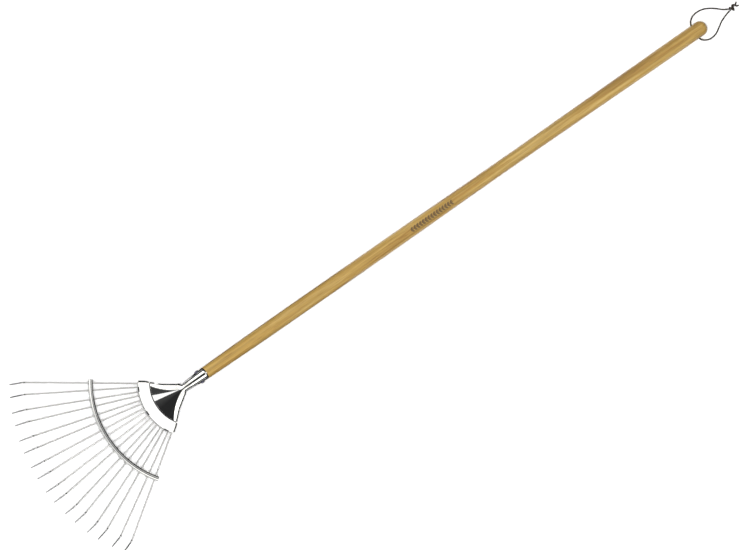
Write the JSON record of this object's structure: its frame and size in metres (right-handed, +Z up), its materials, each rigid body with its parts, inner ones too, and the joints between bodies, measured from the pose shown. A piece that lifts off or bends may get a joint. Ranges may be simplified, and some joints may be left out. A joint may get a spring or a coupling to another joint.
{
  "type": "leaf rake",
  "caption": "Long-handled leaf rake with a fan of thin spring tines in a polished steel head, a curved brace and a leather hanging loop.",
  "frame": {"origin": "on the ground, under the middle of the rake without its hanging loop", "axes": "+Z up, +Y along the handle from the tines to the rounded end, X across the tines"},
  "size_m": [0.3908, 1.7287, 0.052],
  "materials": {
    "ash_wood": "waxed, fine lengthwise grain",
    "polished_steel": "mirror polished",
    "rivet_steel": "satin",
    "spring_wire": "polished wire",
    "leather": "waxed round thong"
  },
  "bodies": {
    "rake": {"handle": "ash_wood", "head_shell": "polished_steel", "clamp_plate": "polished_steel", "brace": "polished_steel", "socket_rivet": "rivet_steel", "tine_01": "spring_wire", "tine_02": "spring_wire", "tine_03": "spring_wire", "tine_04": "spring_wire", "tine_05": "spring_wire", "tine_06": "spring_wire", "tine_07": "spring_wire", "tine_08": "spring_wire", "tine_09": "spring_wire", "tine_10": "spring_wire", "tine_11": "spring_wire", "tine_12": "spring_wire", "tine_13": "spring_wire", "tine_14": "spring_wire", "tine_15": "spring_wire", "tine_16": "spring_wire"},
    "loop": {"hang_loop": "leather", "loop_knot": "leather"}
  },
  "joints": [
    {"name": "loop_swing", "type": "hinge", "parent": "rake", "child": "loop", "pos_m": [0, 0.7939, 0.01498], "axis": [1, 0, 0], "range_deg": [0, 165]}
  ]
}
